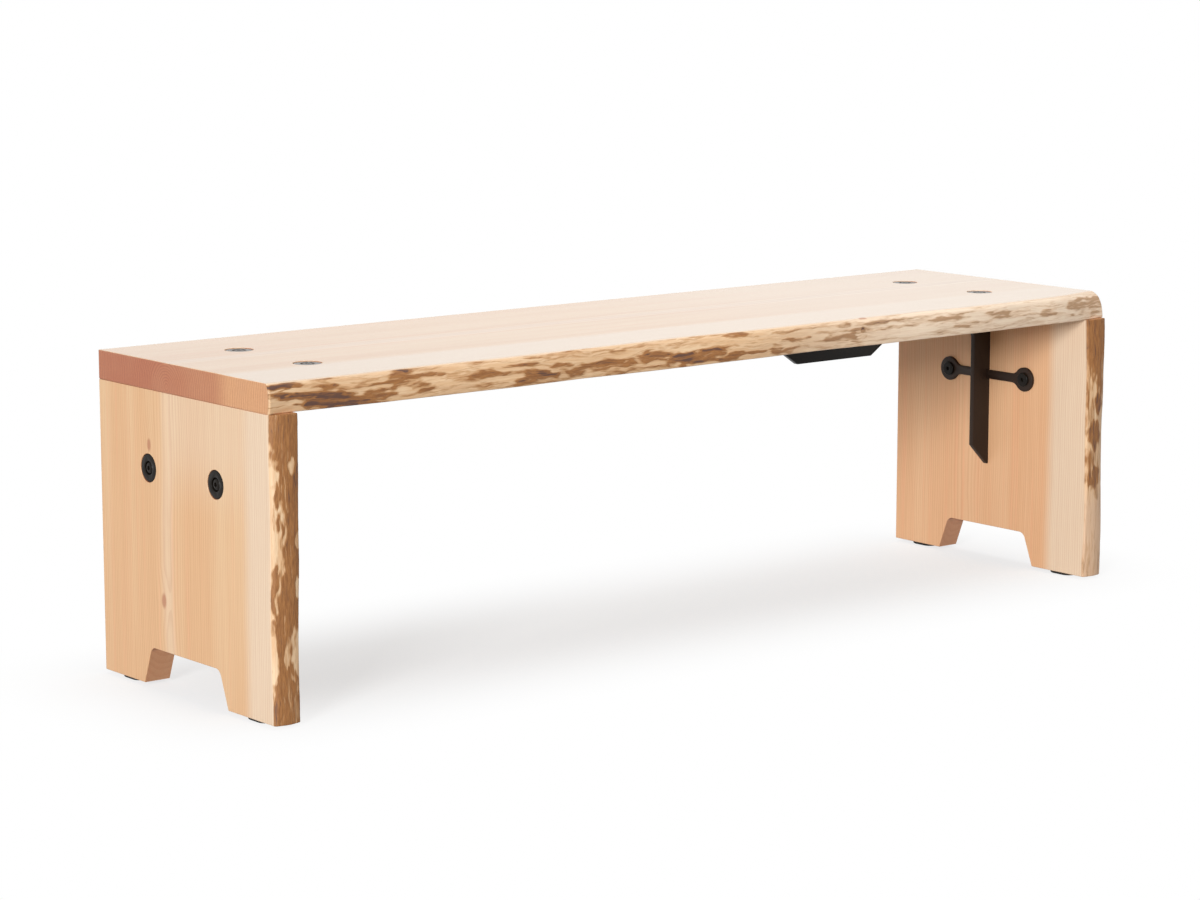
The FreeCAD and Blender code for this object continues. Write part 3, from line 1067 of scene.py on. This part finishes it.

# %% [markdown]
# Seat
#
# The seat's live edge is the front of the bench, and its scraps of bark are what the eye goes to first.
# Chance alone would scatter them evenly, so each is listed: thick and dark at the left end, sparse
# and pale at the right, with a knot in between. The right end is worn round and falls back, as a plank
# does where the tree began to taper.

# %% Seat
# Each scrap has its place along the plank in metres, its place through it as a share of the thickness,
# its half length, its half width as a share, and the depth of its colour
seat_scraps = [
    (0.160, 0.28, 0.040, 0.22, 0.75),
    (0.095, 0.28, 0.050, 0.36, 1.00),
    (0.028, 0.92, 0.030, 0.11, 0.95),
    (0.020, 0.70, 0.018, 0.09, 0.90),
    (0.042, 0.52, 0.026, 0.13, 0.80),
    (0.135, 0.64, 0.052, 0.07, 0.62),
    (0.077, 0.95, 0.020, 0.07, 0.50),
    (0.205, 0.70, 0.028, 0.24, 0.72),
    (0.252, 0.74, 0.032, 0.08, 0.68),
    (0.240, 0.36, 0.017, 0.16, 0.65),
    (0.345, 0.56, 0.034, 0.14, 0.72),
    (0.395, 0.72, 0.036, 0.07, 0.58),
    (0.428, 0.27, 0.038, 0.20, 0.80),
    (0.412, 0.09, 0.050, 0.05, 0.55),
    (0.470, 0.54, 0.022, 0.15, 0.66),
    (0.500, 0.36, 0.024, 0.16, 0.66),
    (0.478, 0.95, 0.026, 0.08, 0.48),
    (0.556, 0.40, 0.052, 0.21, 0.74),
    (0.575, 0.82, 0.021, 0.09, 0.55),
    (0.582, 0.13, 0.030, 0.08, 0.50),
    (0.630, 0.50, 0.032, 0.17, 0.74),
    (0.690, 0.31, 0.044, 0.21, 0.90),
    (0.738, 0.39, 0.032, 0.17, 0.84),
    (0.778, 0.23, 0.034, 0.14, 0.78),
    (0.820, 0.26, 0.028, 0.09, 0.58),
    (0.862, 0.30, 0.018, 0.14, 0.64),
    (0.890, 0.17, 0.024, 0.09, 0.55),
    (0.790, 0.92, 0.022, 0.10, 0.52),
    (0.906, 0.54, 0.032, 0.08, 0.68),
    (0.982, 0.40, 0.034, 0.15, 0.58),
    (0.998, 0.85, 0.017, 0.09, 0.54),
    (1.062, 0.80, 0.024, 0.09, 0.52),
    (1.087, 0.60, 0.026, 0.07, 0.50),
    (1.118, 0.54, 0.032, 0.10, 0.46),
    (1.140, 0.82, 0.032, 0.06, 0.44),
    (1.215, 0.70, 0.046, 0.12, 0.50),
    (1.243, 0.42, 0.030, 0.10, 0.46),
    (1.310, 0.68, 0.030, 0.14, 0.46),
    (1.376, 0.48, 0.022, 0.13, 0.46),
    (1.420, 0.47, 0.022, 0.13, 0.46),
    (1.022, 0.44, 0.015, 0.30, 0.58),
    (1.027, 0.47, 0.010, 0.22, 0.20),
    (1.032, 0.62, 0.005, 0.08, 0.70),
    (1.490, 0.60, 0.034, 0.26, 0.58),
    (1.532, 0.55, 0.030, 0.40, 0.56),
]
# The least and most radius of the lower corner, then of the upper one
seat_rounds = ((1 * mm, 2.5 * mm), (4 * mm, 9 * mm))
seat_worn = {"worn_span": (0.64, 0.79), "worn_depth": 13 * mm, "worn_round": 7 * mm}
seat = Plank("seat_slab", 0, seat_rounds, seat_scraps, seed=3.0, **seat_worn)
seat_cutters = bmesh.new()
for side in ("left", "right"):
    washers = side + "_seat_washers"
    bore_cutters(seat_cutters, washers, axis=2, outward=1, face=seat.high.z, thickness=seat.thickness)
finish_plank(seat, seat_cutters, seat_wood)

# %% [markdown]
# Legs
#
# The legs came from other parts of the tree. The left one is brown with bark all over, and the shaved
# patches on it are the bare ones, so its first scrap covers the whole edge and pale ones are laid over
# it. The right one is bare, with dark scraps on its upper part. One function could scatter both, but
# then they would look like twins.

# %% Legs
# Scraps have the same columns as the seat's, and their place along the leg is measured from its foot
leg_scraps = {
    "left": [
        (0.200, 0.50, 0.600, 3.00, 0.76),
        (0.010, 0.50, 0.055, 0.90, 0.64),
        (0.245, 0.00, 0.125, 0.36, 0.00),
        (0.095, 0.00, 0.060, 0.14, 0.00),
        (0.095, 1.02, 0.044, 0.46, 0.05),
        (0.337, 0.70, 0.013, 0.12, 0.15),
        (0.241, 0.94, 0.012, 0.10, 0.15),
        (0.181, 0.94, 0.018, 0.13, 0.10),
        (0.085, 0.45, 0.014, 0.10, 0.20),
        (0.298, 0.17, 0.018, 0.08, 0.72),
        (0.265, 0.20, 0.015, 0.06, 0.72),
        (0.190, 0.16, 0.024, 0.08, 0.60),
        (0.163, 0.09, 0.020, 0.06, 0.66),
        (0.128, 0.06, 0.012, 0.06, 0.60),
    ],
    "right": [
        (0.375, 0.50, 0.060, 1.40, 0.80),
        (0.320, 0.78, 0.042, 0.30, 0.62),
        (0.315, 0.05, 0.045, 0.22, 0.62),
        (0.274, 0.57, 0.017, 0.26, 0.84),
        (0.224, 0.40, 0.023, 0.33, 0.84),
        (0.187, 0.18, 0.022, 0.18, 0.66),
        (0.157, 0.42, 0.019, 0.40, 0.82),
        (0.133, 0.58, 0.012, 0.15, 0.55),
        (0.069, 0.45, 0.011, 0.09, 0.45),
    ],
}
# The least and most radius of the corner on the left, then of the one on the right
leg_rounds = {
    "left": ((3 * mm, 8 * mm), (1 * mm, 3 * mm)),
    "right": ((1 * mm, 3 * mm), (2 * mm, 6 * mm)),
}
leg_woods = {"left": left_leg_wood, "right": right_leg_wood}
for side, outward, seed in (("left", -1, 8.0), ("right", 1, 14.0)):
    leg = Plank(side + "_leg_slab", 2, leg_rounds[side], leg_scraps[side], seed)
    cutters = bmesh.new()
    face = leg.low.x if outward < 0 else leg.high.x
    bore_cutters(cutters, side + "_leg_washers", 0, outward, face, thickness=leg.thickness)
    notch_cutter(cutters, leg)
    finish_plank(leg, cutters, leg_woods[side])

# %% [markdown]
# Steel, rubber and screws
#
# The brackets are flat bar, welded and coated in satin black powder, which is never quite smooth. The
# bar under the seat and the fasteners of the legs are oxide black, and the bar has that darker coat partly
# as painted shade under the seat. The fasteners on the seat are painted grey as a painted sheen. One plain
# black would do for all of them in a small picture, but close up each coat has its own spots and its own
# sheen, so one function makes them all from a table.

# %% Hardware finishes
# Each coat has a dark and a light tone, roughness, spot size, relief depth, metal share and specular level
coats = {
    "powder_black": (paint(36, 25, 19), paint(52, 38, 29), 0.45, 0.9 * mm, 0.08 * mm, 0.0, 0.2),
    "oxide_black": (paint(16, 13, 10), paint(30, 25, 20), 0.3, 0.5 * mm, 0.004 * mm, 0.0, 0.12),
    # The grey of the seat's fasteners is a painted sheen, lighter than their black
    "painted_sheen_grey": (paint(58, 53, 49), paint(92, 86, 80), 0.26, 0.5 * mm, 0.003 * mm, 0.0, 0.5),
    "glide_rubber": (paint(34, 32, 30), paint(50, 48, 45), 0.85, 0.6 * mm, 0.05 * mm, 0.0, 0.3),
    "screw_zinc": (paint(168, 166, 160), paint(205, 203, 197), 0.36, 0.4 * mm, 0.02 * mm, 1.0, 0.5),
}
patch_spots = 22
patch_share = 0.5
patch_roughness = 0.16
speck_roughness = 0.1


def speckled(name, dark, light, roughness, spot, depth, metallic, specular):
    """A coat whose colour and roughness waver from spot to spot, over a fine relief."""
    material, coat = new_material(name)
    x, y, z = coat.place()
    speck = coat.noise(x / spot, y / spot, z / spot, detail=3.0)
    patch = coat.noise(x * patch_spots, y * patch_spots, z * patch_spots, detail=3.0)
    least_roughness = roughness - (patch_roughness + speck_roughness) / 2
    coat.close({
        "Base Color": coat.blend(speck * (1 - patch_share) + patch * patch_share, dark, light),
        "Roughness": patch * patch_roughness + speck * speck_roughness + least_roughness,
        "Normal": coat.bump(speck, depth),
        "Metallic": metallic,
        "Specular IOR Level": specular,
    })
    return material


hardware = {name: speckled(name, *coat) for name, coat in coats.items()}
print("hardware finishes:", ", ".join(hardware))

# %% [markdown]
# Eased edges
#
# The solids have the right shape but knife-sharp edges, and no real edge is sharp: it shows as a thin
# line of light. A Bevel modifier could round them, but the solids come as loose triangles, so each
# piece is a merged copy of its solid with flat faces joined and every sharp edge bevelled.

# %% Softened copies
flat_angle = math.radians(1)
facet_angle = math.radians(28)
steel_smooth_angle = math.radians(35)
ease_steps = 2


def softened(node, ease, finish):
    """Replaces a solid by a merged copy of it with its sharp edges bevelled."""
    mesh = bmesh.new()
    mesh.from_mesh(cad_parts[node].data)
    bmesh.ops.remove_doubles(mesh, verts=mesh.verts, dist=weld_distance)
    bmesh.ops.dissolve_limit(mesh, angle_limit=flat_angle, verts=mesh.verts, edges=mesh.edges)
    sharp = [edge for edge in mesh.edges if edge.is_manifold and edge.calc_face_angle() > facet_angle]
    bmesh.ops.bevel(
        mesh, geom=sharp, offset=ease, segments=ease_steps, profile=0.5, affect="EDGES", material=-1,
        clamp_overlap=True,
    )
    piece = new_piece("eased_" + node, mesh, hardware[finish])
    piece.data.shade_smooth()
    piece.data.set_sharp_from_angle(angle=steel_smooth_angle)
    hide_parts(node)
    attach(piece, "root")
    print(piece.name, "faces:", len(piece.data.polygons))


print("steel edges are bevelled in steps:", ease_steps)

# %% Brackets, fasteners and glides
bar_ease = 0.7 * mm
washer_ease = 0.4 * mm
bolt_ease = 0.3 * mm
glide_ease = 0.4 * mm
screw_ease = 0.15 * mm

for side in ("left_", "right_"):
    for node in ("bracket_rib", "seat_strap", "leg_strap"):
        softened(side + node, bar_ease, "powder_black")
    # The seat's fasteners take the painted sheen grey, and the legs' take oxide black
    for joint, outer_finish in (("seat", "painted_sheen_grey"), ("leg", "oxide_black")):
        softened(side + joint + "_washers", washer_ease, outer_finish)
        softened(side + joint + "_bolts", bolt_ease, outer_finish)
        softened(side + joint + "_nuts", bolt_ease, "oxide_black")
    for end in ("front", "back"):
        softened(side + end + "_glide", glide_ease, "glide_rubber")
    softened(side + "glide_screws", screw_ease, "screw_zinc")
# The bar under the seat takes the darker oxide black coat, partly as painted shade under the seat
softened("seat_stiffener", bar_ease, "oxide_black")
softened("stiffener_screws", screw_ease, "screw_zinc")
